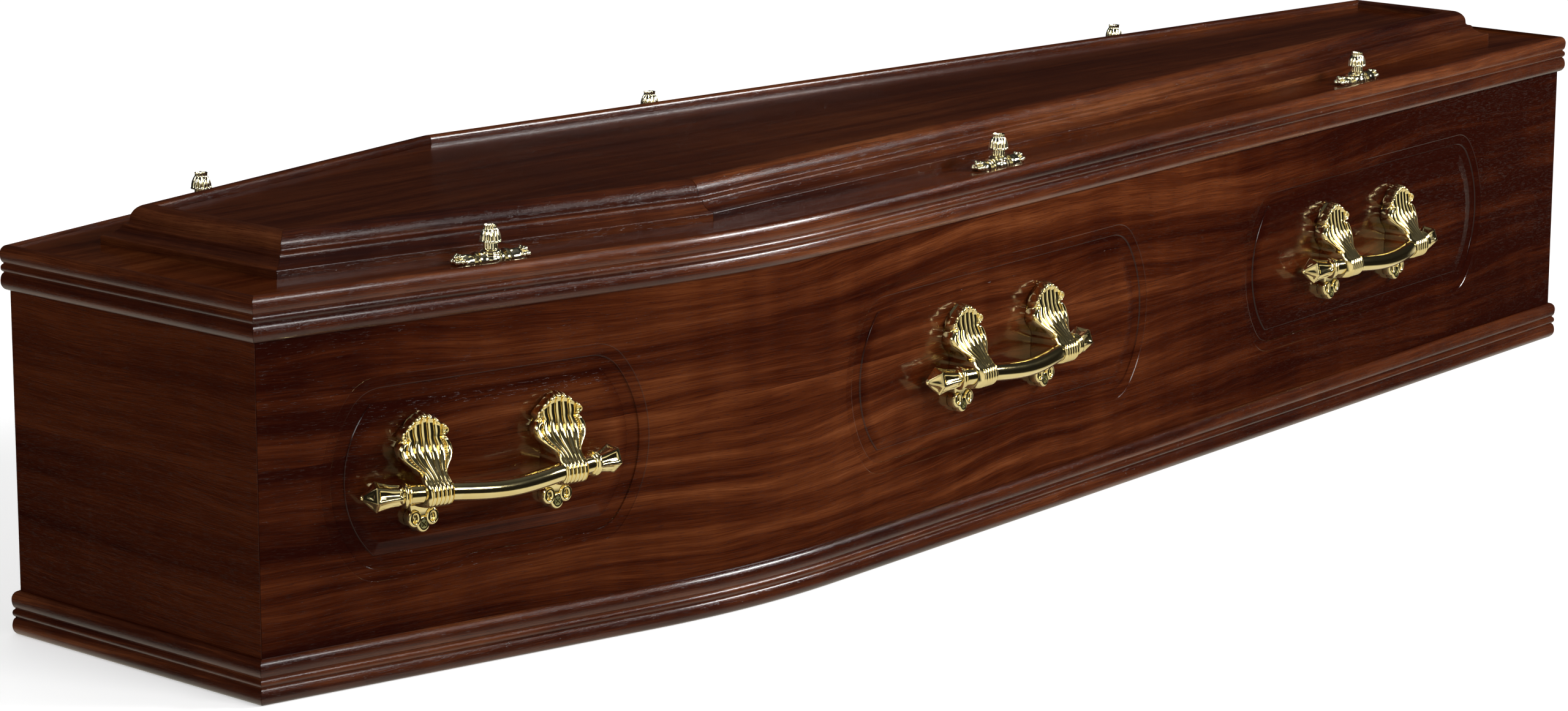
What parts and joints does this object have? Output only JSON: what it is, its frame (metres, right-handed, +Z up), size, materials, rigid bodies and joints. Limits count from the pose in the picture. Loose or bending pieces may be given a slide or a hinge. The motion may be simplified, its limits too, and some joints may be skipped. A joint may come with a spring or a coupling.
{
  "type": "raised-lid coffin",
  "caption": "Wooden coffin, widest at its rounded shoulders, with reeded mouldings, a raised lid that lifts off, brass bar handles on shell plates and wreath holders",
  "frame": {"origin": "middle of the underside, where the coffin stands", "axes": "+X towards the foot end, +Y towards its left side, +Z up"},
  "size_m": [1.93, 0.541, 0.3694],
  "materials": {
    "veneer": "gloss lacquered mahogany veneer with a ribbon figure",
    "moulding": "gloss lacquered, wrapped in mahogany veneer",
    "bare_board": "bare sanded board",
    "brass": "polished gold brass",
    "pale_brass": "polished pale brass"
  },
  "bodies": {
    "root": {"base_moulding_foot": "moulding", "base_moulding_head": "moulding", "base_moulding_left": "moulding", "base_moulding_right": "moulding", "floor_board": "bare_board", "foot_board": "veneer", "handle_bar_left_1": "brass", "handle_bar_left_2": "brass", "handle_bar_left_3": "brass", "handle_bar_right_1": "brass", "handle_bar_right_2": "brass", "handle_bar_right_3": "brass", "handle_plate_left_1_foot": "brass", "handle_plate_left_1_head": "brass", "handle_plate_left_2_foot": "brass", "handle_plate_left_2_head": "brass", "handle_plate_left_3_foot": "brass", "handle_plate_left_3_head": "brass", "handle_plate_right_1_foot": "brass", "handle_plate_right_1_head": "brass", "handle_plate_right_2_foot": "brass", "handle_plate_right_2_head": "brass", "handle_plate_right_3_foot": "brass", "handle_plate_right_3_head": "brass", "head_board": "veneer", "left_side_board": "veneer", "lid_board": "veneer", "lid_moulding_foot": "moulding", "lid_moulding_head": "moulding", "lid_moulding_left": "moulding", "lid_moulding_right": "moulding", "raised_frame_foot": "moulding", "raised_frame_head": "moulding", "raised_frame_left_lower": "moulding", "raised_frame_left_upper": "moulding", "raised_frame_right_lower": "moulding", "raised_frame_right_upper": "moulding", "raised_top_panel": "veneer", "right_side_board": "veneer", "wreath_holder_base_left_1": "pale_brass", "wreath_holder_base_left_2": "pale_brass", "wreath_holder_base_left_3": "pale_brass", "wreath_holder_base_right_1": "pale_brass", "wreath_holder_base_right_2": "pale_brass", "wreath_holder_base_right_3": "pale_brass", "wreath_holder_cup_left_1": "pale_brass", "wreath_holder_cup_left_2": "pale_brass", "wreath_holder_cup_left_3": "pale_brass", "wreath_holder_cup_right_1": "pale_brass", "wreath_holder_cup_right_2": "pale_brass", "wreath_holder_cup_right_3": "pale_brass"}
  },
  "joints": []
}
